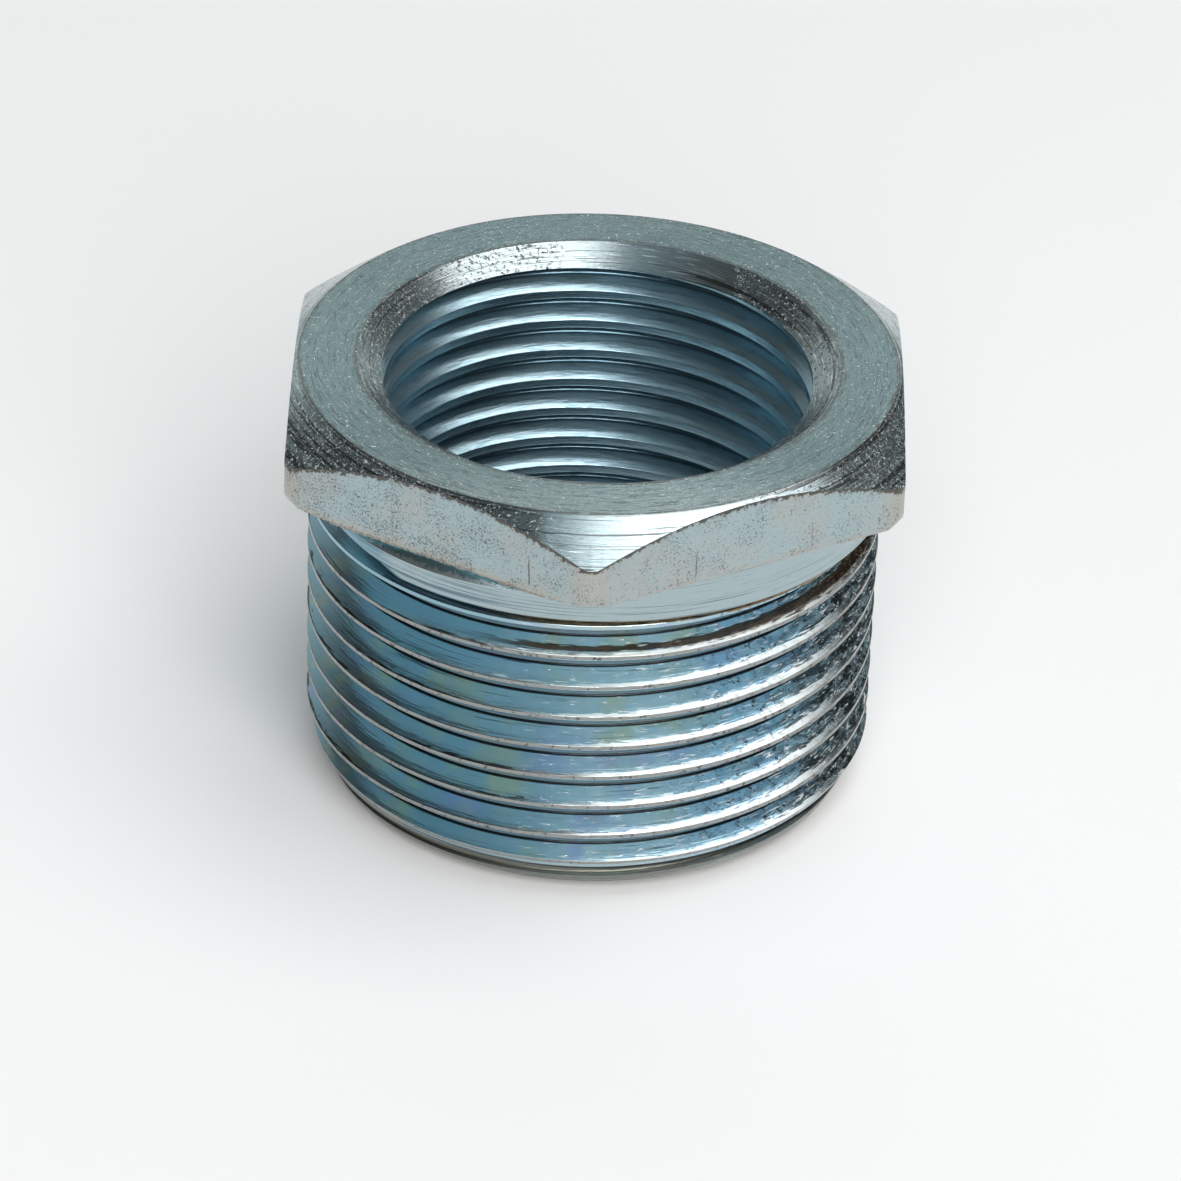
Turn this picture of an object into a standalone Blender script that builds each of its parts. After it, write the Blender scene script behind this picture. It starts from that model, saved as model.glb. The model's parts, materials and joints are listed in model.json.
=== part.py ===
"""Hexagon reducing bush: one piece of steel turned from hexagon bar, with a male thread outside
and a smaller female thread right through it.

The origin is the middle of the lower end face. +Z runs up the bore towards the hexagon, and one
hexagon corner points to -Y.
"""

import math

import bmesh
import bpy

MM = 0.001

# Overall sizes
OVERALL_LENGTH = 19.8 * MM
FACETS = 36  # flat sides of a full turn of every round surface

# Female thread, M20 x 1.5
FEMALE_MINOR_DIAMETER = 18.38 * MM
FEMALE_PITCH = 1.5 * MM
FEMALE_BACK_GROOVE = -1.04 * MM  # height of the first groove's middle, on the +Y side
UPPER_MOUTH_DEPTH = 0.8 * MM
UPPER_MOUTH_WIDTH = 1.14 * MM
LOWER_MOUTH_DEPTH = 0.7 * MM
LOWER_MOUTH_WIDTH = 0.91 * MM

# Male thread, M25 x 1.5, which grows outwards from the wall that it shares with the female thread
THREAD_WALL = 1.478 * MM  # steel between the roots of the two threads
MALE_PITCH = 1.5 * MM
MALE_FRONT_GROOVE = -1.764 * MM  # height of the first groove's middle, on the -Y side
LEAD_HEIGHT = 2.44 * MM  # the slow taper at the lower end starts this high
LEAD_INSET = 0.84 * MM
END_CHAMFER_HEIGHT = 0.7 * MM
END_CHAMFER_WIDTH = 0.9 * MM

# Hexagon head
FLATS_OUTSIDE_THREAD = 0.6 * MM  # from the male thread's crest out to the flats
HEX_HEIGHT = 3.3 * MM
HEX_CORNER_RADIUS = 0.4 * MM
FACE_INSET = 0.17 * MM  # the top chamfer starts this far inside the flats
TOP_CHAMFER_ANGLE = math.radians(36)  # below horizontal
UNDER_CHAMFER_WIDTH = 0.35 * MM  # at the corners only
UNDER_CHAMFER_HEIGHT = 0.9 * MM

# Neck and the relief between it and the thread
NECK_INSET = 0.25 * MM  # the neck is this much smaller in radius than the flats
NECK_LENGTH = 2.0 * MM
RELIEF_WIDTH = 0.42 * MM
RELIEF_DEPTH = 0.5 * MM  # below the male thread's crest

# ISO metric thread form, as shares of the pitch
FLANK_ANGLE = math.radians(30)
MALE_CREST_FLAT = 1 / 8
MALE_DEPTH = 0.6134
FEMALE_CREST_FLAT = 1 / 4
FEMALE_DEPTH = 0.5413

BAR_CLEARANCE = 0.02 * MM  # how far the two outer chamfers run on past the hexagon's corners
CLEARANCE = 0.3 * MM  # how far a shape that trims or cuts stands clear of what it leaves alone
SEAM = 0.001 * MM  # corners closer than this are one, where a helix meets its next turn

STEP_ANGLE = 2 * math.pi / FACETS
BORE_RADIUS = FEMALE_MINOR_DIAMETER / 2
FEMALE_ROOT_RADIUS = BORE_RADIUS + FEMALE_DEPTH * FEMALE_PITCH
CREST_RADIUS = FEMALE_ROOT_RADIUS + THREAD_WALL + MALE_DEPTH * MALE_PITCH
FLAT_RADIUS = CREST_RADIUS + FLATS_OUTSIDE_THREAD
CORNER_RADIUS = FLAT_RADIUS / math.cos(math.pi / 6)
HEX_UNDERSIDE = OVERALL_LENGTH - HEX_HEIGHT
NECK_UNDERSIDE = HEX_UNDERSIDE - NECK_LENGTH


def clear_scene():
    for thing in list(bpy.data.objects):
        bpy.data.objects.remove(thing, do_unlink=True)


def zinc_plate():
    """Bright zinc plate on steel, with a faint blue tint."""
    material = bpy.data.materials.new("bright_zinc_plate")
    material.use_nodes = True
    shader = material.node_tree.nodes["Principled BSDF"]
    shader.inputs["Base Color"].default_value = (0.52, 0.60, 0.64, 1)
    shader.inputs["Metallic"].default_value = 1.0
    shader.inputs["Roughness"].default_value = 0.32
    return material


def new_object(name, shape):
    """Puts the bmesh shape in a new object of this name."""
    bmesh.ops.recalc_face_normals(shape, faces=shape.faces)
    mesh = bpy.data.meshes.new(name)
    shape.to_mesh(mesh)
    shape.free()
    thing = bpy.data.objects.new(name, mesh)
    bpy.context.scene.collection.objects.link(thing)
    return thing


def as_guide(thing):
    """Keeps a shape that only trims or cuts out of the part itself."""
    thing.hide_render = True
    thing.display_type = "WIRE"
    return thing


def turned_guide(name, outline):
    """A ring turned about the Z axis from a closed outline of (radius, height) points.

    Its facets stand half a step round from the threads', so that no edges of the two coincide.
    """
    shape = bmesh.new()
    c, s = math.cos(STEP_ANGLE / 2), math.sin(STEP_ANGLE / 2)
    corners = [shape.verts.new((r * c, r * s, z)) for r, z in outline]
    edges = [shape.edges.new(pair) for pair in zip(corners, corners[1:] + corners[:1])]
    bmesh.ops.spin(
        shape, geom=corners + edges, axis=(0, 0, 1), cent=(0, 0, 0), dvec=(0, 0, 0),
        angle=2 * math.pi, steps=FACETS, use_merge=True,
    )
    return as_guide(new_object(name, shape))


def threaded_rod(name, crest, root, crest_flat, pitch, angle, start, stop):
    """A solid right-hand screw about the Z axis.

    crest and root are the radii at the rod's own groove mouth and groove bottom. The middle of
    its first groove stands at this angle and height start, and it climbs a pitch each turn until
    all of its upper end is above stop.
    """
    mouth = (pitch - crest_flat) / 2
    bottom = mouth - abs(crest - root) * math.tan(FLANK_ANGLE)
    upper = [(root, bottom), (crest, mouth), (crest, pitch / 2)]
    lower = [(r, -z) for r, z in reversed(upper)]
    c, s = math.cos(angle), math.sin(angle)
    shape = bmesh.new()
    corners = [shape.verts.new((r * c, r * s, start + z)) for r, z in lower + upper]
    edges = [shape.edges.new(pair) for pair in zip(corners, corners[1:])]
    steps = math.ceil((stop + pitch - start) / pitch * FACETS)
    bmesh.ops.spin(
        shape, geom=corners + edges, axis=(0, 0, 1), cent=(0, 0, 0),
        dvec=(0, 0, pitch / FACETS), angle=steps * STEP_ANGLE, steps=steps,
    )
    bmesh.ops.remove_doubles(shape, verts=shape.verts[:], dist=SEAM)
    middle = (start + stop) / 2
    for is_end in (lambda z: z < middle, lambda z: z > middle):
        rim = [e for e in shape.edges if e.is_boundary and is_end(e.verts[0].co.z)]
        height = sum(e.verts[0].co.z for e in rim) / len(rim)
        centre = shape.verts.new((0, 0, height))
        for edge in rim:
            shape.faces.new((*edge.verts, centre))
    return new_object(name, shape)


def turned_outline():
    """What a lathe leaves of the bar, apart from the threads and the flats."""
    face_radius = FLAT_RADIUS - FACE_INSET
    clear_radius = CORNER_RADIUS + BAR_CLEARANCE
    top_drop = (clear_radius - face_radius) * math.tan(TOP_CHAMFER_ANGLE)
    under_radius = CORNER_RADIUS - UNDER_CHAMFER_WIDTH
    under_rise = (clear_radius - under_radius) * UNDER_CHAMFER_HEIGHT / UNDER_CHAMFER_WIDTH
    neck_radius = FLAT_RADIUS - NECK_INSET
    relief_radius = CREST_RADIUS - RELIEF_DEPTH
    shank_radius = CREST_RADIUS + CLEARANCE
    shank_rise = CLEARANCE * (LEAD_HEIGHT - END_CHAMFER_HEIGHT) / LEAD_INSET
    lead_radius = CREST_RADIUS - LEAD_INSET
    inner_radius = BORE_RADIUS - CLEARANCE
    upper_drop = UPPER_MOUTH_DEPTH * (1 + CLEARANCE / UPPER_MOUTH_WIDTH)
    lower_rise = LOWER_MOUTH_DEPTH * (1 + CLEARANCE / LOWER_MOUTH_WIDTH)
    return [
        (BORE_RADIUS + UPPER_MOUTH_WIDTH, OVERALL_LENGTH),
        (face_radius, OVERALL_LENGTH),
        (clear_radius, OVERALL_LENGTH - top_drop),
        (clear_radius, HEX_UNDERSIDE + under_rise),
        (under_radius, HEX_UNDERSIDE),
        (neck_radius, HEX_UNDERSIDE),
        (neck_radius, NECK_UNDERSIDE),
        (relief_radius, NECK_UNDERSIDE - 0.3 * RELIEF_WIDTH),
        (relief_radius, NECK_UNDERSIDE - 0.6 * RELIEF_WIDTH),
        (shank_radius, NECK_UNDERSIDE - RELIEF_WIDTH),
        (shank_radius, LEAD_HEIGHT + shank_rise),
        (lead_radius, END_CHAMFER_HEIGHT),
        (lead_radius - END_CHAMFER_WIDTH, 0),
        (BORE_RADIUS + LOWER_MOUTH_WIDTH, 0),
        (inner_radius, lower_rise),
        (inner_radius, OVERALL_LENGTH - upper_drop),
    ]


def upright_bar(name, corners, below, above):
    """A straight bar whose section is this list of (x, y) corners, between two heights."""
    shape = bmesh.new()
    end = shape.faces.new([shape.verts.new((x, y, below)) for x, y in corners])
    risen = bmesh.ops.extrude_face_region(shape, geom=[end])["geom"]
    top = [v for v in risen if isinstance(v, bmesh.types.BMVert)]
    bmesh.ops.translate(shape, verts=top, vec=(0, 0, above - below))
    return as_guide(new_object(name, shape))


def head_block():
    """Room for the head and neck round the upper end of the screw."""
    side = CORNER_RADIUS + 2 * CLEARANCE
    corners = [(-side, -side), (side, -side), (side, side), (-side, side)]
    return upright_bar("head_block", corners, NECK_UNDERSIDE, OVERALL_LENGTH + CLEARANCE)


def hexagon_bar():
    """The bar that the flats come from, with its drawn corners rounded."""
    angles = [math.pi * (k / 3 - 0.5) for k in range(6)]
    corners = [(CORNER_RADIUS * math.cos(a), CORNER_RADIUS * math.sin(a)) for a in angles]
    bar = upright_bar("hexagon_bar", corners, -CLEARANCE, OVERALL_LENGTH + CLEARANCE)
    rounding = bar.modifiers.new("drawn_corners", "BEVEL")
    rounding.width = HEX_CORNER_RADIUS
    rounding.segments = 2
    rounding.limit_method = "ANGLE"
    rounding.angle_limit = math.radians(59)
    rounding.affect = "EDGES"
    return bar


def male_screw():
    """The whole male thread, from below the lower end up into the neck."""
    root_radius = CREST_RADIUS - MALE_DEPTH * MALE_PITCH
    return threaded_rod(
        "reducing_bush", CREST_RADIUS, root_radius, MALE_CREST_FLAT * MALE_PITCH, MALE_PITCH,
        -math.pi / 2, MALE_FRONT_GROOVE, NECK_UNDERSIDE,
    )


def female_tap():
    """Cuts the bore and its thread, from end to end."""
    return as_guide(threaded_rod(
        "female_tap", BORE_RADIUS, FEMALE_ROOT_RADIUS, FEMALE_CREST_FLAT * FEMALE_PITCH,
        FEMALE_PITCH, math.pi / 2, FEMALE_BACK_GROOVE, OVERALL_LENGTH,
    ))


def combine(body, other, operation):
    boolean = body.modifiers.new(other.name, "BOOLEAN")
    boolean.operation = operation
    boolean.solver = "EXACT"
    boolean.object = other


def main():
    clear_scene()
    body = male_screw()
    body.data.materials.append(zinc_plate())
    combine(body, head_block(), "UNION")
    combine(body, turned_guide("turned_outline", turned_outline()), "INTERSECT")
    combine(body, hexagon_bar(), "INTERSECT")
    combine(body, female_tap(), "DIFFERENCE")


main()
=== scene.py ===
"""Bright zinc plated hexagon reducing bush, turned from bar, on a pale studio floor.

Lengths are in metres. The origin is the middle of the lower end face, +Z runs up the bore to the
hexagon, and one hexagon corner points to -Y.
"""

import json
import math

import bmesh
import bpy
from bpy.props import FloatProperty, FloatVectorProperty, IntProperty, PointerProperty
from mathutils import Matrix, Vector

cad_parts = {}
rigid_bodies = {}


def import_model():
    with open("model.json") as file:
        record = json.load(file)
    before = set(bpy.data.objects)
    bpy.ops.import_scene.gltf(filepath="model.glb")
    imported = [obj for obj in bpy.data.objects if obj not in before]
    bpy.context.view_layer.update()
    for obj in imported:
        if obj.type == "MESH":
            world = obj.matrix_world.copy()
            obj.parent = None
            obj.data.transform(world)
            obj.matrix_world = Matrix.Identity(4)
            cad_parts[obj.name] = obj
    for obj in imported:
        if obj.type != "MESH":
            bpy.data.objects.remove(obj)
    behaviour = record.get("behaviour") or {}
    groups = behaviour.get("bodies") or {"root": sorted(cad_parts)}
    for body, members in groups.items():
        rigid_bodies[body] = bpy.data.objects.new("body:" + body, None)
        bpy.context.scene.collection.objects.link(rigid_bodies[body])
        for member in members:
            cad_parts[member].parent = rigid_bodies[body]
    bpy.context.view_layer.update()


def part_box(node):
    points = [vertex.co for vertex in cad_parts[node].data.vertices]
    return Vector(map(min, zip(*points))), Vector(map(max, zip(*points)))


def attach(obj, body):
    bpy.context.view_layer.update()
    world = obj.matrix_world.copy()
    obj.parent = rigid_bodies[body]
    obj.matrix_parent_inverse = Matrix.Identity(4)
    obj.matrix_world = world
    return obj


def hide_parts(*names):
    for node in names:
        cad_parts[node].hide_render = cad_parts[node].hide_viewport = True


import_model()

bl_info = {
    "name": "Hexagon Reducing Bush",
    "version": (1, 0, 0),
    "blender": (4, 5, 0),
    "location": "3D View > Sidebar > Reducing Bush",
    "description": "Models a zinc plated hexagon reducing bush and a plain studio for it",
    "category": "Object",
}

MM = 0.001
SEAM = 0.0005 * MM
THREAD_FLANK = math.radians(30)
CHAMFER_SLOPE = math.tan(math.radians(36))
HEAD_HEIGHT = 3.3 * MM
HEAD_AND_NECK = 5.3 * MM
FACE_SETBACK = 0.17 * MM
NECK_SETBACK = 0.25 * MM
RELIEF_HEIGHT = 0.36 * MM
LOWEST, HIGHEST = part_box("reducing_bush")
LENGTH = HIGHEST.z - LOWEST.z
FLAT_RADIUS = HIGHEST.x


def length_property(name, description, default, **more):
    return FloatProperty(
        name=name, description=description, default=default, unit="LENGTH", subtype="DISTANCE",
        precision=5, **more,
    )


def colour_property(name, description, default):
    return FloatVectorProperty(
        name=name, description=description, default=default, subtype="COLOR", size=3, min=0, max=1,
    )


class BushSizes(bpy.types.PropertyGroup):
    """Sizes of the bush that a user would change."""

    length: length_property("Length", "From the lower end face to the top face", LENGTH)
    flat_radius: length_property("Flat radius", "From the axis to a hexagon flat", FLAT_RADIUS)
    corner_rounding: length_property("Corner rounding", "Radius of the bar's corners", 0.45 * MM)
    crest_radius: length_property("Male crest radius", "Outside radius of the thread", 12.4 * MM)
    male_pitch: length_property("Male pitch", "Pitch of the outer thread", 1.5 * MM)
    male_depth: length_property("Male depth", "Depth of the outer thread", 0.9 * MM)
    male_start: length_property("Male start", "Height of a groove at -Y", -1.764 * MM)
    bore_radius: length_property("Bore radius", "Inside radius of the inner thread", 9.19 * MM)
    female_pitch: length_property("Female pitch", "Pitch of the inner thread", 1.5 * MM)
    female_depth: length_property("Female depth", "Depth of the inner thread", 0.81 * MM)
    female_start: length_property("Female start", "Height of a groove at +Y", -1.04 * MM)
    segments: IntProperty(name="Segments", description="Sides of a full turn", default=144)


class BushColours(bpy.types.PropertyGroup):
    """Colours of the plating and of the studio."""

    plating: colour_property("Plating", "Zinc on the flats and the faces", (0.405, 0.50, 0.525))
    bright: colour_property("Bright plating", "Zinc on the chamfers", (0.50, 0.59, 0.61))
    thread_plating: colour_property("Thread plating", "Zinc on the threads", (0.45, 0.60, 0.66))
    stain: colour_property("Stain", "Dry brown stain in recesses", (0.060, 0.040, 0.024))
    floor: colour_property("Floor", "Plain floor", (0.95, 0.925, 0.915))


# ---------------------------------------------------------------- modelling by operators


def deselect_all():
    for thing in bpy.context.view_layer.objects:
        thing.select_set(False)


def activate(thing):
    deselect_all()
    thing.select_set(True)
    bpy.context.view_layer.objects.active = thing
    return thing


def choose(thing, kind, wanted):
    """Selects the vertices, edges or faces of a piece in edit mode that a test picks out."""
    shape = bmesh.from_edit_mesh(thing.data)
    shape.select_mode = {kind}
    for element in (*shape.verts, *shape.edges, *shape.faces):
        element.select = False
    elements = {"VERT": shape.verts, "EDGE": shape.edges, "FACE": shape.faces}[kind]
    for element in elements:
        if wanted(element):
            element.select_set(True)
    shape.select_flush_mode()
    bmesh.update_edit_mesh(thing.data)
    bpy.ops.mesh.select_mode(type=kind)


def wire(name, outline, closed):
    """A line drawn point by point in the XZ plane, through (radius, height) points."""
    deselect_all()
    first = Vector((outline[0][0], 0, outline[0][1]))
    bpy.ops.mesh.primitive_plane_add(size=MM, location=first)
    thing = bpy.context.object
    thing.name = thing.data.name = name
    bpy.ops.object.transform_apply(location=True, rotation=True, scale=True)
    bpy.ops.object.mode_set(mode="EDIT")
    bpy.ops.mesh.select_mode(type="VERT")
    bpy.ops.mesh.select_all(action="SELECT")
    bpy.ops.mesh.merge(type="CENTER")
    for (r0, z0), (r1, z1) in zip(outline, outline[1:]):
        bpy.ops.mesh.extrude_region_move(
            TRANSFORM_OT_translate={"value": (r1 - r0, 0, z1 - z0)}
        )
    if closed:
        choose(thing, "VERT", lambda v: len(v.link_edges) == 1)
        bpy.ops.mesh.edge_face_add()
    bpy.ops.object.mode_set(mode="OBJECT")
    return thing


def rounded(outline, radii, steps=3):
    """An outline of (radius, height) points with its corners rounded by these radii."""
    points = []
    count = len(outline)
    for i, corner in enumerate(outline):
        radius = radii.get(i, 0)
        if not radius:
            points.append(corner)
            continue
        here = Vector(corner)
        back = (Vector(outline[i - 1]) - here).normalized()
        on = (Vector(outline[(i + 1) % count]) - here).normalized()
        half = math.acos(max(-1, min(1, back.dot(on)))) / 2
        reach = radius / math.tan(half)
        centre = here + (back + on).normalized() * radius / math.sin(half)
        start, stop = here + back * reach - centre, here + on * reach - centre
        for k in range(steps + 1):
            turn = start.lerp(stop, k / steps).normalized() * radius
            points.append(tuple(centre + turn))
    return points


def finish_shell(thing):
    bpy.ops.object.mode_set(mode="EDIT")
    bpy.ops.mesh.select_all(action="SELECT")
    bpy.ops.mesh.remove_doubles(threshold=SEAM)
    bpy.ops.mesh.select_all(action="SELECT")
    bpy.ops.mesh.normals_make_consistent(inside=False)
    bpy.ops.object.mode_set(mode="OBJECT")
    return thing


def turned(name, outline, segments):
    """A closed outline spun once round the Z axis, as on a lathe."""
    thing = activate(wire(name, outline, closed=True))
    bpy.ops.object.mode_set(mode="EDIT")
    bpy.ops.mesh.select_all(action="SELECT")
    bpy.ops.mesh.spin(
        steps=segments, angle=2 * math.pi, use_auto_merge=True, center=(0, 0, 0), axis=(0, 0, 1)
    )
    bpy.ops.object.mode_set(mode="OBJECT")
    return finish_shell(thing)


def screwed(name, profile, pitch, azimuth, start, stop, segments):
    """A solid screw: one pitch of profile wound up the Z axis from a height until past another."""
    thing = activate(wire(name, profile, closed=False))
    winding = thing.modifiers.new("winding", "SCREW")
    winding.axis = "Z"
    winding.steps = winding.render_steps = segments
    winding.screw_offset = pitch
    winding.iterations = math.ceil((stop - start) / pitch) + 1
    winding.use_merge_vertices = False
    winding.use_smooth_shade = False
    bpy.ops.object.modifier_apply(modifier=winding.name)
    bpy.ops.object.mode_set(mode="EDIT")
    bpy.ops.mesh.select_all(action="SELECT")
    bpy.ops.mesh.remove_doubles(threshold=SEAM)
    middle = (stop - start) / 2
    for lower in (True, False):
        choose(thing, "EDGE", lambda e: e.is_boundary and (e.verts[0].co.z < middle) == lower)
        bpy.ops.mesh.extrude_edges_move()
        bpy.ops.mesh.merge(type="CENTER")
    bpy.ops.mesh.select_all(action="SELECT")
    bpy.ops.transform.rotate(
        value=-azimuth, orient_axis="Z", center_override=(0, 0, 0)
    )
    bpy.ops.transform.translate(value=(0, 0, start))
    bpy.ops.object.mode_set(mode="OBJECT")
    return finish_shell(thing)


def combine(body, other, operation):
    """Joins, trims or cuts the body with another solid, which is used up."""
    activate(body)
    step = body.modifiers.new("step", "BOOLEAN")
    step.operation = operation
    step.solver = "MANIFOLD"
    step.object = other
    bpy.ops.object.modifier_apply(modifier=step.name)
    bpy.data.objects.remove(other, do_unlink=True)
    return body


class OBJECT_OT_reducing_bush_body(bpy.types.Operator):
    """Turns, threads and mills the one-piece bush"""

    bl_idname = "object.reducing_bush_body"
    bl_label = "Bush Body"

    def execute(self, context):
        s = context.scene.bush_sizes
        body = male_screw(s)
        combine(body, head_block(s), "UNION")
        combine(body, turned("turned_form", turned_outline(s), s.segments), "INTERSECT")
        combine(body, burr(s), "UNION")
        combine(body, hexagon_bar(s), "INTERSECT")
        combine(body, off_centre_step(s), "UNION")
        combine(body, run_out_cutter(s), "DIFFERENCE")
        combine(body, female_tap(s), "DIFFERENCE")
        body.name = body.data.name = "reducing_bush_body"
        activate(body)
        bpy.ops.object.shade_smooth_by_angle(angle=math.radians(30))
        weights = body.modifiers.new("weighted_normals", "WEIGHTED_NORMAL")
        weights.keep_sharp = True
        weights.weight = 80
        bpy.ops.object.modifier_apply(modifier=weights.name)
        give_finishes(body, s, context.scene.bush_colours)
        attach(body, "root")
        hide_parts("reducing_bush")
        return {"FINISHED"}


def male_screw(s):
    """The outer thread on a solid core, with rounded groove bottoms and slightly rolled crests."""
    root = s.crest_radius - s.male_depth
    half_crest = s.male_pitch / 16
    mouth = s.male_pitch / 2 - half_crest
    bottom = mouth - s.male_depth * math.tan(THREAD_FLANK)
    upper = [(root, bottom), (s.crest_radius, mouth), (s.crest_radius, s.male_pitch / 2)]
    lower = [(r, -z) for r, z in reversed(upper)]
    profile = rounded(lower + upper, {1: 0.04 * MM, 2: 0.1 * MM, 3: 0.1 * MM, 4: 0.04 * MM})
    return screwed(
        "male_screw", profile, s.male_pitch, -math.pi / 2, s.male_start, s.length, s.segments
    )


def female_tap(s):
    """The inner thread through the bore, stopping below the upper mouth."""
    root = s.bore_radius + s.female_depth
    half_crest = s.female_pitch / 8
    mouth = s.female_pitch / 2 - half_crest
    bottom = mouth - s.female_depth * math.tan(THREAD_FLANK)
    upper = [(root, bottom), (s.bore_radius, mouth), (s.bore_radius, s.female_pitch / 2)]
    lower = [(r, -z) for r, z in reversed(upper)]
    profile = rounded(lower + upper, {1: 0.04 * MM, 2: 0.12 * MM, 3: 0.12 * MM, 4: 0.04 * MM})
    tap = screwed(
        "female_tap", profile, s.female_pitch, math.pi / 2, s.female_start, s.length, s.segments
    )
    # the mouth is bored after the thread is cut, so no groove shows in its chamfer
    below, above = -2 * MM, s.length - 0.72 * MM
    deselect_all()
    bpy.ops.mesh.primitive_cylinder_add(
        vertices=s.segments, radius=s.crest_radius, depth=above - below,
        location=(0, 0, (above + below) / 2),
    )
    reach = bpy.context.object
    bpy.ops.object.transform_apply(location=True, rotation=True, scale=True)
    return combine(tap, reach, "INTERSECT")


def head_block(s):
    """Room for the head and neck round the upper end of the screw."""
    below, above = s.length - HEAD_AND_NECK, s.length + 0.3 * MM
    deselect_all()
    bpy.ops.mesh.primitive_cylinder_add(
        vertices=s.segments, radius=s.flat_radius * 1.3, depth=above - below,
        location=(0, 0, (above + below) / 2),
    )
    thing = bpy.context.object
    bpy.ops.object.transform_apply(location=True, rotation=True, scale=True)
    return thing


def turned_outline(s):
    """What the lathe leaves of the bar, apart from the threads and the flats."""
    corner = s.flat_radius / math.cos(math.pi / 6)
    top, under, neck = s.length, s.length - HEAD_HEIGHT, s.length - HEAD_AND_NECK
    face = s.flat_radius - FACE_SETBACK
    clear = corner + 0.02 * MM
    outline = [
        (s.bore_radius - 0.3 * MM, 0.931 * MM),
        (s.bore_radius - 0.3 * MM, top - 1.01 * MM),
        (s.bore_radius + 1.14 * MM, top),
        (face, top),
        (clear, top - (clear - face) * CHAMFER_SLOPE),
        (clear, under + 0.95 * MM),
        (corner - 0.35 * MM, under),
        (s.flat_radius - NECK_SETBACK, under),
        (s.flat_radius - NECK_SETBACK, neck),
        (s.crest_radius - 0.5 * MM, neck - 0.08 * MM),
        (s.crest_radius - 0.5 * MM, neck - 0.16 * MM),
        (s.crest_radius + 0.3 * MM, neck - 0.32 * MM),
        (s.crest_radius + 0.3 * MM, 3.06 * MM),
        (s.crest_radius - 0.84 * MM, 0.7 * MM),
        (s.crest_radius - 1.74 * MM, 0),
        (s.bore_radius + 0.91 * MM, 0),
    ]
    return rounded(outline, {2: 0.12 * MM, 3: 0.07 * MM, 7: 0.12 * MM, 8: 0.1 * MM, 13: 0.2 * MM,
                             14: 0.1 * MM, 15: 0.08 * MM})


def hexagon_bar(s):
    """The bar that the flats come from, with its drawn corners rounded."""
    corner = s.flat_radius / math.cos(math.pi / 6)
    deselect_all()
    bpy.ops.mesh.primitive_cylinder_add(
        vertices=6, radius=corner, depth=s.length + 2 * MM, location=(0, 0, s.length / 2)
    )
    bar = bpy.context.object
    bpy.ops.object.transform_apply(location=True, rotation=True, scale=True)
    bpy.ops.object.mode_set(mode="EDIT")
    choose(bar, "EDGE", lambda e: abs(e.verts[0].co.z - e.verts[1].co.z) > MM)
    bpy.ops.mesh.bevel(offset=s.corner_rounding, offset_type="OFFSET", segments=5)
    bpy.ops.object.mode_set(mode="OBJECT")
    return bar


def off_centre_step(s):
    """The sloping crescent left under one flat, where the neck was turned a little off centre."""
    way = math.radians(-90 - 35)
    top, height = s.length - 3.32 * MM, 0.55 * MM
    deselect_all()
    bpy.ops.mesh.primitive_cone_add(
        vertices=s.segments, radius1=10.82 * MM, radius2=10.27 * MM, depth=height,
        location=(2.48 * MM * math.cos(way), 2.48 * MM * math.sin(way), top - height / 2),
    )
    step = bpy.context.object
    bpy.ops.object.transform_apply(location=True, rotation=True, scale=True)
    return step


def burr(s):
    """The ragged lip that the neck tool pushed down along the lower edge of one flat."""
    azimuth, hang, ragged = math.radians(-120), 0.16 * MM, 0.05 * MM
    side, thick = s.flat_radius / math.sqrt(3), 0.18 * MM
    high = s.length - 3.0 * MM
    low = s.length - HEAD_HEIGHT - hang
    outer, half = s.flat_radius + 0.05 * MM, side - 0.75 * MM
    deselect_all()
    bpy.ops.mesh.primitive_cube_add(
        size=1, location=(outer - thick / 2, 0, (high + low) / 2),
        scale=(thick, 2 * half, high - low),
    )
    lip = bpy.context.object
    bpy.ops.object.transform_apply(location=True, rotation=True, scale=True)
    bpy.ops.object.mode_set(mode="EDIT")
    choose(lip, "EDGE", lambda e: abs(e.verts[0].co.y - e.verts[1].co.y) > side)
    bpy.ops.mesh.subdivide(number_cuts=120)
    choose(lip, "VERT", lambda v: v.co.z < (high + low) / 2 and abs(v.co.y) < half - 0.3 * MM)
    bpy.ops.transform.vertex_random(offset=ragged, uniform=1.0, seed=3)
    for k in range(8):
        reach = half - (1.6 - 0.2 * k) * MM
        choose(lip, "VERT", lambda v: v.co.z < high - 0.1 * MM and abs(v.co.y) > reach)
        bpy.ops.transform.translate(value=(0, 0, hang / 8))
    for side_face in (outer, outer - thick):
        choose(lip, "VERT", lambda v: abs(v.co.x - side_face) < thick / 2)
        bpy.ops.transform.resize(value=(0, 1, 1), center_override=(side_face, 0, 0))
    bpy.ops.mesh.select_all(action="SELECT")
    bpy.ops.transform.rotate(value=-azimuth, orient_axis="Z", center_override=(0, 0, 0))
    bpy.ops.mesh.select_all(action="SELECT")
    bpy.ops.mesh.quads_convert_to_tris()
    bpy.ops.object.mode_set(mode="OBJECT")
    return finish_shell(lip)


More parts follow.
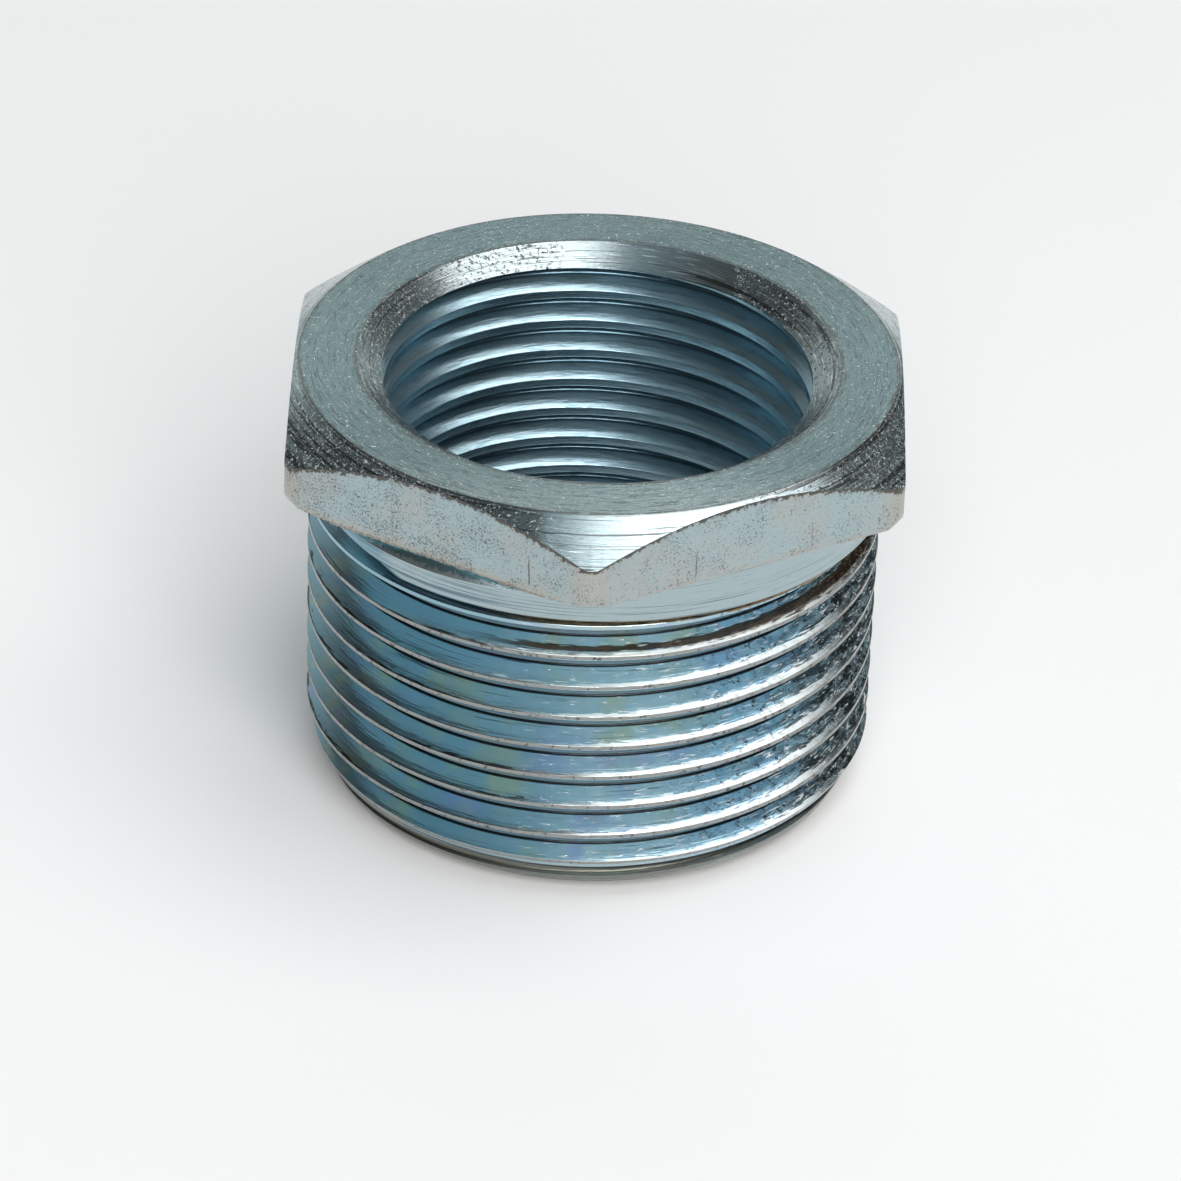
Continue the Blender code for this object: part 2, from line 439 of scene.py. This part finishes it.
def run_out_cutter(s):
    """The last part turn of the outer groove, which fades out below the neck at the left front."""
    turn, fade, first = math.radians(162), math.radians(30), math.radians(-90 - 195)
    steps = s.segments // 2
    root = s.crest_radius - s.male_depth
    bottom = s.male_pitch / 2 - s.male_pitch / 16 - s.male_depth * math.tan(THREAD_FLANK)
    outer = s.crest_radius + 1.2 * MM
    mouth = bottom + (outer - root) * math.tan(THREAD_FLANK)
    profile = rounded(
        [(outer, mouth), (outer, -mouth), (root, -bottom), (root, bottom)], {2: 0.1 * MM, 3: 0.1 * MM}
    )
    cutter = activate(wire("run_out_cutter", profile, closed=True))
    winding = cutter.modifiers.new("winding", "SCREW")
    winding.axis = "Z"
    winding.angle = turn
    winding.steps = winding.render_steps = steps
    winding.screw_offset = s.male_pitch * turn / (2 * math.pi)
    winding.use_smooth_shade = False
    bpy.ops.object.modifier_apply(modifier=winding.name)
    bpy.ops.object.mode_set(mode="EDIT")
    bpy.ops.mesh.select_mode(type="VERT")
    for k in range(1, steps + 1):
        azimuth = turn * k / steps
        rise = 1.5 * MM * max(0, azimuth - turn + fade) / fade
        if rise:
            ray = Vector((-math.sin(azimuth), math.cos(azimuth), 0))
            along = Vector((math.cos(azimuth), math.sin(azimuth), 0))
            choose(cutter, "VERT", lambda v: abs(v.co @ ray) < SEAM and v.co @ along > 0)
            bpy.ops.transform.translate(value=along * rise)
    bpy.ops.mesh.select_all(action="SELECT")
    bpy.ops.mesh.remove_doubles(threshold=SEAM)
    bpy.ops.mesh.select_all(action="SELECT")
    bpy.ops.mesh.fill_holes(sides=0)
    bpy.ops.mesh.select_all(action="SELECT")
    bpy.ops.transform.rotate(value=-first, orient_axis="Z", center_override=(0, 0, 0))
    groove = s.male_start + 11 * s.male_pitch
    start = groove + s.male_pitch * (first + math.pi / 2) / (2 * math.pi)
    bpy.ops.transform.translate(value=(0, 0, start))
    bpy.ops.object.mode_set(mode="OBJECT")
    return finish_shell(cutter)


# ---------------------------------------------------------------- finishes


class Number:
    """A number that varies over a surface. Arithmetic on it adds Math nodes."""

    def __init__(self, finish, socket):
        self.finish, self.socket = finish, socket

    def maths(self, operation, *terms):
        return self.finish.node(
            "ShaderNodeMath", {"operation": operation}, dict(enumerate(terms))
        )

    def __add__(self, other):
        return self.maths("ADD", self, other)

    def __sub__(self, other):
        return self.maths("SUBTRACT", self, other)

    def __rsub__(self, other):
        return self.maths("SUBTRACT", other, self)

    def __mul__(self, other):
        return self.maths("MULTIPLY", self, other)

    def __truediv__(self, other):
        return self.maths("DIVIDE", self, other)

    def __rtruediv__(self, other):
        return self.maths("DIVIDE", other, self)

    __radd__ = __add__
    __rmul__ = __mul__

    def __abs__(self):
        return self.maths("ABSOLUTE", self)

    def root(self):
        return self.maths("SQRT", self)

    def fraction(self):
        return self.maths("FRACT", self)


class Finish:
    """A material under construction, with the coordinates of this bush's surfaces at hand."""

    def __init__(self, name):
        self.material = bpy.data.materials.new(name)
        self.material.use_nodes = True
        self.tree = self.material.node_tree
        self.shader = self.tree.nodes["Principled BSDF"]
        place = self.node("ShaderNodeTexCoord", out="Object")
        millimetres = self.vector("SCALE", place, scale=1 / MM)
        self.place = millimetres
        self.x, self.y, self.z = (
            self.node("ShaderNodeSeparateXYZ", {}, {0: millimetres}, out=axis) for axis in "XYZ"
        )
        self.radius = (self.x * self.x + self.y * self.y).root()
        self.across, self.along = self.x / self.radius, self.y / self.radius

    def node(self, kind, settings=None, inputs=None, out=0):
        made = self.tree.nodes.new(kind)
        for name, value in (settings or {}).items():
            if name == "stops":
                ramp = made.color_ramp
                while len(ramp.elements) < len(value):
                    ramp.elements.new(1)
                for stop, (place, colour) in zip(ramp.elements, value):
                    stop.position, stop.color = place, (*colour, 1)
            else:
                setattr(made, name, value)
        for key, value in (inputs or {}).items():
            self.feed(made.inputs[key], value)
        return Number(self, made.outputs[out])

    def feed(self, socket, value):
        if isinstance(value, Number):
            self.tree.links.new(value.socket, socket)
        elif socket.type == "RGBA":
            socket.default_value = (*value[:3], 1)
        else:
            socket.default_value = value

    def vector(self, operation, first, second=None, scale=None):
        inputs = {0: first}
        if second is not None:
            inputs[1] = second
        if scale is not None:
            inputs["Scale"] = scale
        return self.node("ShaderNodeVectorMath", {"operation": operation}, inputs)

    def joined(self, x, y, z):
        return self.node("ShaderNodeCombineXYZ", {}, {0: x, 1: y, 2: z})

    def noise(self, place, scale, detail=2.0, roughness=0.5):
        return self.node(
            "ShaderNodeTexNoise", {},
            {"Vector": place, "Scale": scale, "Detail": detail, "Roughness": roughness}, out="Fac",
        )

    def ease(self, value, low, high):
        """0 below low, 1 above high, or the other way round where low is the higher."""
        if low > high:
            return 1 - self.ease(value, high, low)
        return self.node(
            "ShaderNodeMapRange", {"interpolation_type": "SMOOTHSTEP"},
            {"Value": value, "From Min": low, "From Max": high},
        )

    def mixed(self, factor, first, second, blend="MIX"):
        return self.node(
            "ShaderNodeMix", {"data_type": "RGBA", "blend_type": blend, "clamp_factor": True},
            {0: factor, 6: first, 7: second}, out=2,
        )

    def ring_lines(self, height, fineness, length):
        """Noise drawn out round the axis, as a tool leaves it."""
        place = self.joined(self.across * length, self.along * length, height * fineness)
        return self.noise(place, 1.0, 3.0, 0.6)

    def helix(self, pitch, start, azimuth):
        """Height in pitches above the first groove's middle, the fraction of it, and turns."""
        c, s = math.cos(azimuth), math.sin(azimuth)
        turned_x = self.x * c + self.y * s
        turned_y = self.y * c - self.x * s
        angle = turned_x.maths("ARCTAN2", turned_y, turned_x)
        whole = (self.z - start / MM) * (MM / pitch) - angle * (0.5 / math.pi)
        profile = whole.fraction()
        return whole, profile, (self.z - start / MM) * (MM / pitch) - profile

    def done(self, colour, roughness, height, distance, metallic=1.0):
        shader = self.shader
        self.feed(shader.inputs["Base Color"], colour)
        self.feed(shader.inputs["Roughness"], roughness)
        self.feed(shader.inputs["Metallic"], metallic)
        bump = self.node(
            "ShaderNodeBump", {}, {"Height": height, "Strength": 1.0, "Distance": distance}
        )
        self.feed(shader.inputs["Normal"], bump)
        return self.material


def drawn_flat_finish(s, colours):
    f = Finish("zinc_on_drawn_flats")
    patches = f.ease(f.noise(f.place, 0.8, 3.0), 0.40, 0.60) * 0.05
    patches = patches + f.ease(f.x, 1.0, -4.0) * 0.025
    pits = f.ease(f.noise(f.place, 12.0, 3.0, 0.8) + patches, 0.60, 0.66)
    cloud = f.noise(f.place, 0.35, 3.0)
    # the edge that the top chamfer makes with each flat is ragged and dark
    face = (s.flat_radius - FACE_SETBACK) / MM
    drop = s.length / MM - (f.radius - face) * CHAMFER_SLOPE - f.z
    ragged = (f.noise(f.place, 4.0, 4.0, 0.8) - 0.40) * 1.0
    edge = f.ease(drop - ragged, 0.10, 0.0)
    # dry stain along the lower edges and down the corners
    corner = f.ease(f.radius, s.flat_radius / MM + 1.2, s.flat_radius / MM + 1.9)
    low = f.ease(f.z - (f.noise(f.place, 1.6, 4.0, 0.7) - 0.5) * 0.9, 16.95, 16.45)
    dry = f.ease(cloud, 0.42, 0.62) * 0.4
    warm = (corner * 0.75).maths("MAXIMUM", corner * 0.75, low * 0.7)
    warm = warm.maths("MAXIMUM", warm, dry)
    colour = f.mixed(warm, colours.plating, (0.50, 0.47, 0.42))
    colour = f.mixed(pits * 0.85, colour, (0.10, 0.11, 0.11))
    colour = f.mixed(edge * 0.9, colour, (0.09, 0.075, 0.06))
    lip = f.ease(f.z - (f.noise(f.place, 6.0, 3.0, 0.7) - 0.5) * 0.35, 16.50, 16.40)
    colour = f.mixed(lip * 0.5, colour, (0.22, 0.17, 0.12))
    wander = (f.noise(f.place, 1.5, 2.0) - 0.5) * 0.25
    tall = f.ease(f.z, 16.6, 16.9) * f.ease(f.z, 18.3, 17.6)
    for place, weight in ((-2.55, 0.8), (4.30, 0.6), (-8.3, 0.35), (9.1, 0.35)):
        scratch = f.ease(abs(f.x + wander - place), 0.045, 0.015) * tall * weight
        colour = f.mixed(scratch, colour, (0.10, 0.09, 0.08))
    grain = f.noise(f.joined(f.across * 70.0, f.along * 70.0, f.z * 0.6), 1.0, 2.0)
    height = grain * 0.12 + f.noise(f.place, 9.0, 3.0) * 0.5 - pits * 0.6
    return f.done(colour, 0.34 + warm * 0.14, height, 0.012 * MM)


def faced_top_finish(s, colours):
    f = Finish("zinc_on_faced_top")
    lines = f.ring_lines(f.radius, 8.0, 7.0)
    fine = f.ring_lines(f.radius, 22.0, 18.0)
    sweep = f.ring_lines(f.radius, 2.2, 2.0)
    glint_specks = f.ease(f.noise(f.place, 6.0, 3.0, 0.85), 0.605, 0.635)
    dashes = f.ease(fine, 0.60, 0.66)
    rim = f.ease(abs(f.radius - 11.62) + (f.noise(f.place, 3.0, 4.0) - 0.5) * 0.5, 1.06, 1.20)
    colour = f.mixed(sweep, (0.30, 0.43, 0.46), (0.43, 0.52, 0.52))
    # painted light: the front of the top face, towards -Y, is painted lighter
    colour = f.mixed(f.ease(f.y, -8.0, -12.0) * 0.8, colour, (0.58, 0.66, 0.66))
    colour = f.mixed(rim * 0.6, colour, (0.20, 0.165, 0.13))
    colour = f.mixed(f.ease(lines, 0.55, 0.62) * 0.45, colour, (0.15, 0.21, 0.23))
    colour = f.mixed(dashes * 0.75, colour, (0.10, 0.13, 0.14))
    # painted highlights: white glints along the fine tool lines and white glint specks, with less metal
    # where the specks are
    colour = f.mixed(f.ease(fine, 0.38, 0.34) * 0.6, colour, (0.90, 0.97, 0.97))
    colour = f.mixed(glint_specks * 0.9, colour, (0.95, 0.98, 0.98))
    height = lines * 1.0 + fine * 1.2 + glint_specks * 3.0 + f.noise(f.place, 5.0, 3.0) * 0.8
    return f.done(colour, 0.22, height, 0.026 * MM, 1 - glint_specks * 0.6)


def turned_finish(s, colours):
    """The chamfers of the head, with coarse tool lines."""
    f = Finish("zinc_on_turned_chamfers")
    lines = f.ring_lines(f.radius, 6.5, 0.9)
    fine = f.ring_lines(f.radius, 14.0, 7.0)
    torn = f.ease(f.noise(f.place, 5.0, 4.0, 0.8), 0.565, 0.61)
    left = f.ease(f.x, -1.5, -2.6)
    rough = left + f.ease(f.x, 5.5, 7.5)
    base = f.mixed(f.ease(f.radius, 12.0, 11.0), colours.bright, (0.42, 0.48, 0.49))
    shade = left * f.ease(f.x, -8.0, -5.0) * f.ease(f.radius, 11.8, 12.6)
    base = f.mixed(shade * 0.65, base, (0.10, 0.11, 0.11))
    colour = f.mixed(f.ease(lines, 0.565, 0.59) * 0.8, base, (0.07, 0.07, 0.065))
    colour = f.mixed(f.ease(fine, 0.61, 0.66) * 0.5, colour, (0.10, 0.10, 0.095))
    colour = f.mixed(torn * rough * 0.85, colour, (0.05, 0.045, 0.04))
    # painted highlights: white glint sparks on the rough zones, and white glints along the fine tool
    # lines
    glint_sparks = f.ease(f.noise(f.place, 6.5, 3.0, 0.8), 0.60, 0.64) * rough
    colour = f.mixed(glint_sparks * 0.9, colour, (0.95, 0.97, 0.97))
    colour = f.mixed(f.ease(fine, 0.40, 0.35) * 0.8, colour, (0.95, 0.97, 0.97))
    edge = f.ease(abs(f.radius - 11.62) - (torn * 0.06), 1.30, 1.22)
    colour = f.mixed(edge * 0.6, colour, (0.12, 0.095, 0.075))
    height = lines * 0.8 + fine * 0.5 + torn * rough * 1.4 + glint_sparks * 1.6
    return f.done(colour, 0.22, height, 0.022 * MM, 1 - glint_sparks * 0.5)


def neck_finish(s, colours):
    f = Finish("zinc_on_neck")
    lines = f.ring_lines(f.z, 15.0, 1.2)
    fine = f.ring_lines(f.z, 26.0, 18.0)
    cloud = f.noise(f.place, 0.5, 3.0)
    worn = f.ease(f.z + (cloud - 0.5) * 1.2, 15.6, 14.9)
    left = f.ease(f.x + (cloud - 0.5) * 3.0, -7.5, -9.5)
    # painted shade: the far left of the neck is painted a darker blue
    colour = f.mixed(left * 0.8, colours.plating, (0.20, 0.36, 0.44))
    colour = f.mixed(f.ease(lines, 0.60, 0.62) * (0.4 + worn * 0.3), colour, (0.08, 0.11, 0.13))
    colour = f.mixed(f.ease(fine, 0.64, 0.67) * 0.5, colour, (0.10, 0.13, 0.15))
    # on the left the tool lines run deep; the crescent step there is painted teal as shade, and below
    # its torn edge it is painted near white as a reflection of the floor
    deep = f.ease(f.ring_lines(f.z, 9.0, 0.6), 0.52, 0.56) * f.ease(f.x, -2.0, -5.0)
    colour = f.mixed(deep * worn * 0.8, colour, (0.08, 0.17, 0.23))
    step = f.ease(f.radius, 12.79, 12.85)
    torn = f.ease(f.z + (f.noise(f.place, 5.0, 3.0, 0.8) - 0.5) * 0.7, 16.10, 16.02)
    colour = f.mixed(step * 0.6, colour, (0.24, 0.48, 0.53))
    colour = f.mixed(step * torn * 0.9, colour, (0.80, 0.84, 0.84))
    recess = f.ease(f.z + (fine - 0.5) * 0.10, 14.62, 14.50)
    burnt = f.mixed(f.ease(fine, 0.45, 0.58), (0.30, 0.19, 0.10), colours.stain)
    colour = f.mixed(recess * f.ease(f.x, -6.0, -2.0) * 0.95, colour, burnt)
    height = lines * 0.5 + fine * 0.5
    return f.done(colour, 0.26, height, 0.018 * MM)


def male_thread_finish(s, colours):
    f = Finish("zinc_on_male_thread")
    whole, profile, turns = f.helix(s.male_pitch, s.male_start, -math.pi / 2)
    streaks = f.noise(f.joined(profile * 20.0, turns * 40.0, 0.0), 1.0, 2.0, 0.6)
    glints = f.noise(f.joined(profile * 26.0, turns * 75.0, 9.0), 1.0, 2.0, 0.55)
    scores = f.noise(f.joined(profile * 24.0, turns * 14.0, 3.0), 1.0, 3.0, 0.6)
    cloud = f.noise(f.place, 0.30, 3.0)
    nicks = f.ease(f.noise(f.place, 3.4, 4.0, 0.8), 0.56, 0.61)
    left = f.ease(f.x + (cloud - 0.5) * 4.0, 2.0, -7.0)
    # painted shade: the flanks on the left are painted a darker blue
    colour = f.mixed(left, colours.thread_plating, (0.29, 0.46, 0.54))
    gold = f.ease(f.noise(f.place, 0.42, 2.0), 0.54, 0.66)
    colour = f.mixed(gold * 0.4, colour, (0.50, 0.56, 0.38))
    violet = f.ease(f.noise(f.place, 0.36, 2.0), 0.43, 0.35)
    colour = f.mixed(violet * 0.35, colour, (0.36, 0.42, 0.68))
    worn = f.ease(f.noise(f.joined(profile * 3.0, turns * 5.0, 6.0), 1.0, 2.0), 0.42, 0.60)
    colour = f.mixed(f.ease(scores, 0.61, 0.65) * worn * 0.7, colour, (0.04, 0.05, 0.06))
    # painted reflection: the flanks on the right are painted a lighter blue
    cool = f.ease(f.x, 3.0, 6.0) * f.ease(f.x, 10.5, 8.5)
    colour = f.mixed(cool * 0.6, colour, (0.33, 0.54, 0.68))
    # painted highlights: white glints on the flanks from the front round to the right
    bright = f.ease(glints, 0.63, 0.65) * f.ease(f.x, -5.0, 3.0)
    colour = f.mixed(bright * 0.9, colour, (0.95, 0.97, 0.97))
    chips = nicks * f.ease(f.x, 2.0, 9.0)
    gouges = f.noise(f.joined(profile * 10.0, turns * 50.0, 12.0), 1.0, 3.0, 0.7)
    gouges = f.ease(gouges, 0.49, 0.53) * f.ease(f.x, 6.5, 10.5)
    colour = f.mixed(chips * 0.85, colour, (0.015, 0.02, 0.022))
    colour = f.mixed(gouges * 0.85, colour, (0.03, 0.04, 0.045))
    # painted highlights: white glint sparks on the flanks at the right
    glint_sparks = f.noise(f.joined(profile * 16.0, turns * 80.0, 20.0), 1.0, 3.0, 0.7)
    glint_sparks = f.ease(glint_sparks, 0.61, 0.635) * f.ease(f.x, 5.0, 9.0)
    colour = f.mixed(glint_sparks * 0.9, colour, (0.95, 0.97, 0.97))
    # the groove bottom is painted dark as shade, with a painted black shadow line where the flank below
    # meets it
    groove = f.ease(abs(profile - 0.5), 0.40, 0.43)
    colour = f.mixed(groove * 0.75, colour, (0.07, 0.13, 0.17))
    corner = f.ease(profile, 0.865, 0.88) * f.ease(profile, 0.945, 0.93)
    colour = f.mixed(corner * 0.95, colour, (0.012, 0.012, 0.012))
    # the crest is a beige line, dark where it is nicked; along its upper edge a white highlight is
    # painted towards the right and dark dashes, a painted dark reflection, towards the left
    first = f.ease(whole, 10.42, 10.30)
    crest = f.ease(abs(profile - 0.51) + (streaks - 0.5) * 0.04, 0.070, 0.058) * first
    colour = f.mixed(crest * 0.85, colour, (0.33, 0.32, 0.30))
    colour = f.mixed(crest * nicks * 0.85, colour, (0.08, 0.07, 0.06))
    width = f.ease(f.x, -3.0, 7.0) * 0.06
    rolled = f.ease(profile, 0.555, 0.565) * f.ease(profile + (glints - 0.5) * 0.22 - width, 0.60, 0.585)
    shine = rolled * f.ease(f.x + (worn - 0.5) * 4.0, -4.0, 0.5) * f.ease(f.x, 11.5, 9.0)
    # painted highlight along the crest's upper edge, with less metal there
    colour = f.mixed(shine * 0.9, colour, (0.95, 0.97, 0.96))
    dashes = f.ease(f.noise(f.joined(profile * 2.0, turns * 7.0, 5.0), 1.0, 3.0), 0.50, 0.54)
    torn = rolled * dashes * f.ease(f.x, 1.0, -1.0)
    # painted dark reflection in dashes along the same edge on the left
    colour = f.mixed(torn * 0.85, colour, (0.03, 0.025, 0.02))
    # dry brown stain low in the last groove, from the front round to the right
    broad = f.ease(f.x, 1.0, 9.0) * 0.05
    last = f.ease(abs(whole - 9.69) + (glints - 0.5) * 0.14 - broad, 0.055, 0.035)
    front = f.ease(f.y, 3.0, -3.0)
    last = last * f.ease(f.x, -6.0, -2.0) * front
    burnt = f.mixed(f.ease(scores, 0.42, 0.58), colours.stain, (0.11, 0.06, 0.035))
    colour = f.mixed(last * 0.95, colour, burnt)
    crumbs = f.ease(abs(whole - 9.60) + (glints - 0.5) * 0.1, 0.045, 0.03) * f.ease(glints, 0.42, 0.50)
    crumbs = crumbs * f.ease(f.x, -8.0, -3.0) * front
    colour = f.mixed(crumbs * 0.8, colour, (0.75, 0.74, 0.70))
    # the lead and the end chamfer are dull and brown
    end = f.ease(f.z + (cloud - 0.5) * 0.5, 1.75, 1.35)
    colour = f.mixed(end * 0.85, colour, (0.22, 0.215, 0.18))
    for place in (1.62, 1.30):
        end_line = f.ease(abs(f.z - place + (streaks - 0.5) * 0.1), 0.09, 0.05)
        colour = f.mixed(end_line * 0.8, colour, (0.03, 0.03, 0.03))
    height = streaks * 0.25 + glints * 0.35 + scores * 0.35 + chips * 1.4 + bright * 0.6
    metal = 1 - (shine * 0.8).maths("MAXIMUM", shine * 0.8, bright * 0.35 + glint_sparks * 0.45)
    return f.done(colour, 0.20 + groove * 0.10 + end * 0.15, height, 0.024 * MM, metal)


def female_thread_finish(s, colours):
    f = Finish("zinc_on_female_thread")
    _, profile, turns = f.helix(s.female_pitch, s.female_start, math.pi / 2)
    streaks = f.noise(f.joined(profile * 16.0, turns * 30.0, 0.0), 1.0, 3.0, 0.65)
    colour = f.mixed(f.ease(streaks, 0.52, 0.64) * 0.45, (0.44, 0.60, 0.67), (0.16, 0.26, 0.32))
    # painted shade: the groove bottoms are painted dark
    groove = f.ease(abs(profile - 0.5), 0.36, 0.43)
    colour = f.mixed(groove * 0.8, colour, (0.05, 0.10, 0.13))
    return f.done(colour, 0.27, streaks, 0.016 * MM)


def give_finishes(body, s, colours):
    """Gives each face the finish of the tool that made it."""
    makers = (neck_finish, drawn_flat_finish, faced_top_finish, turned_finish,
              male_thread_finish, female_thread_finish)
    body.data.materials.clear()
    for maker in makers:
        body.data.materials.append(maker(s, colours))
    top = s.length
    thread_top = top - HEAD_AND_NECK

    def reach(face):
        centre = face.calc_center_median()
        return math.hypot(centre.x, centre.y), centre.z

    def on_flat(face):
        r, z = reach(face)
        return r > s.flat_radius - 0.1 * MM and -0.6 < face.normal.z < 0.3 and z > top - 3.55 * MM

    def on_top(face):
        return face.normal.z > 0.95 and reach(face)[1] > top - 0.1 * MM

    def on_chamfer(face):
        r, z = reach(face)
        return 0.3 < face.normal.z < 0.96 and z > top - 2.2 * MM and (
            r > s.flat_radius - 0.3 * MM or (z > top - 0.95 * MM and r < s.bore_radius + 1.3 * MM)
            and face.normal.z > 0.6
        )

    def on_male(face):
        r, z = reach(face)
        return z < thread_top - RELIEF_HEIGHT and r > s.crest_radius - 1.8 * MM

    def on_female(face):
        r, z = reach(face)
        return r < s.bore_radius + s.female_depth + 0.02 * MM and top - 0.95 * MM > z > 0.5 * MM

    activate(body)
    bpy.ops.object.mode_set(mode="EDIT")
    tests = (None, on_flat, on_top, on_chamfer, on_male, on_female)
    for slot, test in enumerate(tests):
        if test:
            choose(body, "FACE", test)
            body.active_material_index = slot
            bpy.ops.object.material_slot_assign()
    bpy.ops.object.mode_set(mode="OBJECT")


# ---------------------------------------------------------------- stage


class SCENE_OT_bush_studio(bpy.types.Operator):
    """Adds the floor, the lights and the camera"""

    bl_idname = "scene.bush_studio"
    bl_label = "Studio"

    def execute(self, context):
        deselect_all()
        bpy.ops.mesh.primitive_plane_add(size=3.0, location=(0, 0, 0))
        floor = context.object
        floor.name = floor.data.name = "studio_floor"
        paint = bpy.data.materials.new("floor_paint")
        paint.use_nodes = True
        shader = paint.node_tree.nodes["Principled BSDF"]
        shader.inputs["Base Color"].default_value = (*context.scene.bush_colours.floor, 1)
        shader.inputs["Roughness"].default_value = 0.9
        shader.inputs["Specular IOR Level"].default_value = 0.1
        floor.data.materials.append(paint)
        aimed_light("softbox", Vector((0.35, -0.05, 0.94)), 0.5, 0.36, 0.95)
        aimed_light("fill_light", Vector((0.15, -0.80, 0.60)), 1.2, 0.90, 13.5)
        camera(context)
        sky(context)
        context.scene.view_settings.view_transform = "Standard"
        return {"FINISHED"}


def aimed_light(name, direction, distance, size, power):
    deselect_all()
    place = direction.normalized() * distance
    bpy.ops.object.light_add(type="AREA", location=place)
    lamp = bpy.context.object
    lamp.name = name
    lamp.data.shape = "SQUARE"
    lamp.data.size = size
    lamp.data.energy = power
    lamp.rotation_euler = (-place).to_track_quat("-Z", "Y").to_euler()
    return lamp


def camera(context):
    """Stands in front and above, looks down at the head, and leans a little to one side."""
    rise, lean = math.radians(32.27), math.radians(2.08)
    up = Vector((0, math.sin(rise), math.cos(rise)))
    target = Vector((-0.01 * MM, 0, LENGTH)) - up * 9.96 * MM
    away = Vector((0, -math.cos(rise), math.sin(rise)))
    deselect_all()
    bpy.ops.object.camera_add(location=target + away * 248 * MM)
    eye = context.object
    eye.name = "studio_camera"
    turn = away.to_track_quat("Z", "Y").to_matrix() @ Matrix.Rotation(lean, 3, "Z")
    eye.rotation_euler = turn.to_euler()
    eye.data.sensor_width = 36
    eye.data.lens = 177.0
    eye.data.clip_start = 0.01
    context.scene.camera = eye


def sky(context):
    """A studio room: a pale wall behind, dim to both sides and overhead."""
    world = bpy.data.worlds.new("studio_room")
    world.use_nodes = True
    context.scene.world = world
    tree = world.node_tree
    way = tree.nodes.new("ShaderNodeTexCoord").outputs["Generated"]
    parts = tree.nodes.new("ShaderNodeSeparateXYZ")
    tree.links.new(way, parts.inputs[0])

    def spread(axis, low, high):
        fall = tree.nodes.new("ShaderNodeMapRange")
        fall.interpolation_type = "SMOOTHSTEP"
        fall.inputs["From Min"].default_value = low
        fall.inputs["From Max"].default_value = high
        tree.links.new(parts.outputs[axis], fall.inputs["Value"])
        return fall.outputs[0]

    def blend(factor, first, second):
        mix = tree.nodes.new("ShaderNodeMix")
        mix.data_type = "RGBA"
        tree.links.new(factor, mix.inputs[0])
        for socket, value in ((mix.inputs[6], first), (mix.inputs[7], second)):
            if isinstance(value, tuple):
                socket.default_value = (*value, 1)
            else:
                tree.links.new(value, socket)
        return mix.outputs[2]

    room = blend(spread("X", -0.10, -0.55), (0.22, 0.30, 0.33), (0.08, 0.085, 0.085))
    room = blend(spread("X", 0.30, 0.60), room, (0.08, 0.08, 0.075))
    room = blend(spread("Y", 0.45, 0.85), room, (0.54, 0.60, 0.60))
    room = blend(spread("X", 0.40, 0.60), room, (0.09, 0.095, 0.095))
    background = tree.nodes["Background"]
    tree.links.new(room, background.inputs["Color"])


class VIEW3D_PT_reducing_bush(bpy.types.Panel):
    """Lists the steps that build the bush"""

    bl_label = "Reducing Bush"
    bl_space_type = "VIEW_3D"
    bl_region_type = "UI"
    bl_category = "Reducing Bush"

    def draw(self, context):
        layout = self.layout
        for group in (context.scene.bush_sizes, context.scene.bush_colours):
            column = layout.column()
            for name in group.bl_rna.properties.keys():
                if name not in ("rna_type", "name"):
                    column.prop(group, name)
        for step in STEPS:
            layout.operator(step.bl_idname)


STEPS = (OBJECT_OT_reducing_bush_body, SCENE_OT_bush_studio)
CLASSES = (BushSizes, BushColours, *STEPS, VIEW3D_PT_reducing_bush)


def register():
    for item in CLASSES:
        bpy.utils.register_class(item)
    bpy.types.Scene.bush_sizes = PointerProperty(type=BushSizes)
    bpy.types.Scene.bush_colours = PointerProperty(type=BushColours)


def unregister():
    del bpy.types.Scene.bush_colours
    del bpy.types.Scene.bush_sizes
    for item in reversed(CLASSES):
        bpy.utils.unregister_class(item)


def main():
    register()
    bpy.ops.object.reducing_bush_body()
    bpy.ops.scene.bush_studio()


if __name__ == "__main__":
    main()
